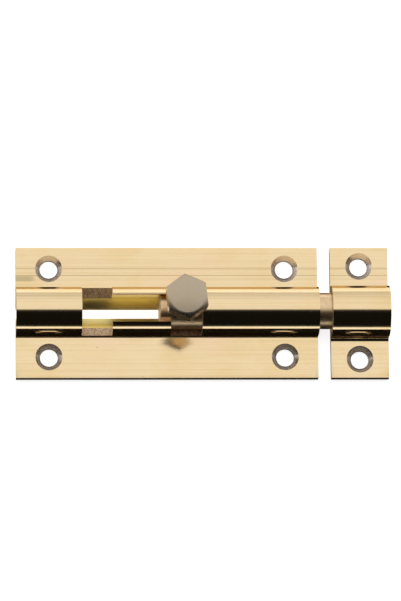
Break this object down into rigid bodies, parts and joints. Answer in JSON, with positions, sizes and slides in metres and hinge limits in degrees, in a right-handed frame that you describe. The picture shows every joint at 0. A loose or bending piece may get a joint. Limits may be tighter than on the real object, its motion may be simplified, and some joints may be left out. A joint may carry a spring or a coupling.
{
  "type": "barrel bolt",
  "caption": "Straight barrel bolt: a round bolt slides in an extruded case, and its hex knob turns into cross notches to hold it shut in the keep or open.",
  "frame": {"origin": "centre of the case's back face, midway between its four screw holes", "axes": "+X along the bolt, from the case towards the keep; +Z out of the plate, away from the door; +Y across the plate"},
  "size_m": [0.0926, 0.033, 0.026],
  "materials": {
    "extruded_brass": "polished, with fine draw lines along the section",
    "turned_brass": "bright turned, with fine tool marks"
  },
  "bodies": {
    "case": {"case": "extruded_brass"},
    "bolt": {"bolt": "turned_brass"},
    "knob": {"knob": "turned_brass"},
    "keep": {"keep": "extruded_brass"}
  },
  "joints": [
    {"name": "bolt_slide", "type": "slide", "parent": "case", "child": "bolt", "axis": [1, 0, 0], "range_m": [-0.02175, 0.0015]},
    {"name": "knob_turn", "type": "hinge", "parent": "bolt", "child": "knob", "pos_m": [0.00385, 0, 0.00455], "axis": [1, 0, 0], "range_deg": [-67.5, 67.5]},
    {"name": "keep_pull", "type": "slide", "parent": "case", "child": "keep", "axis": [1, 0, 0], "range_m": [0, 0.016]}
  ]
}
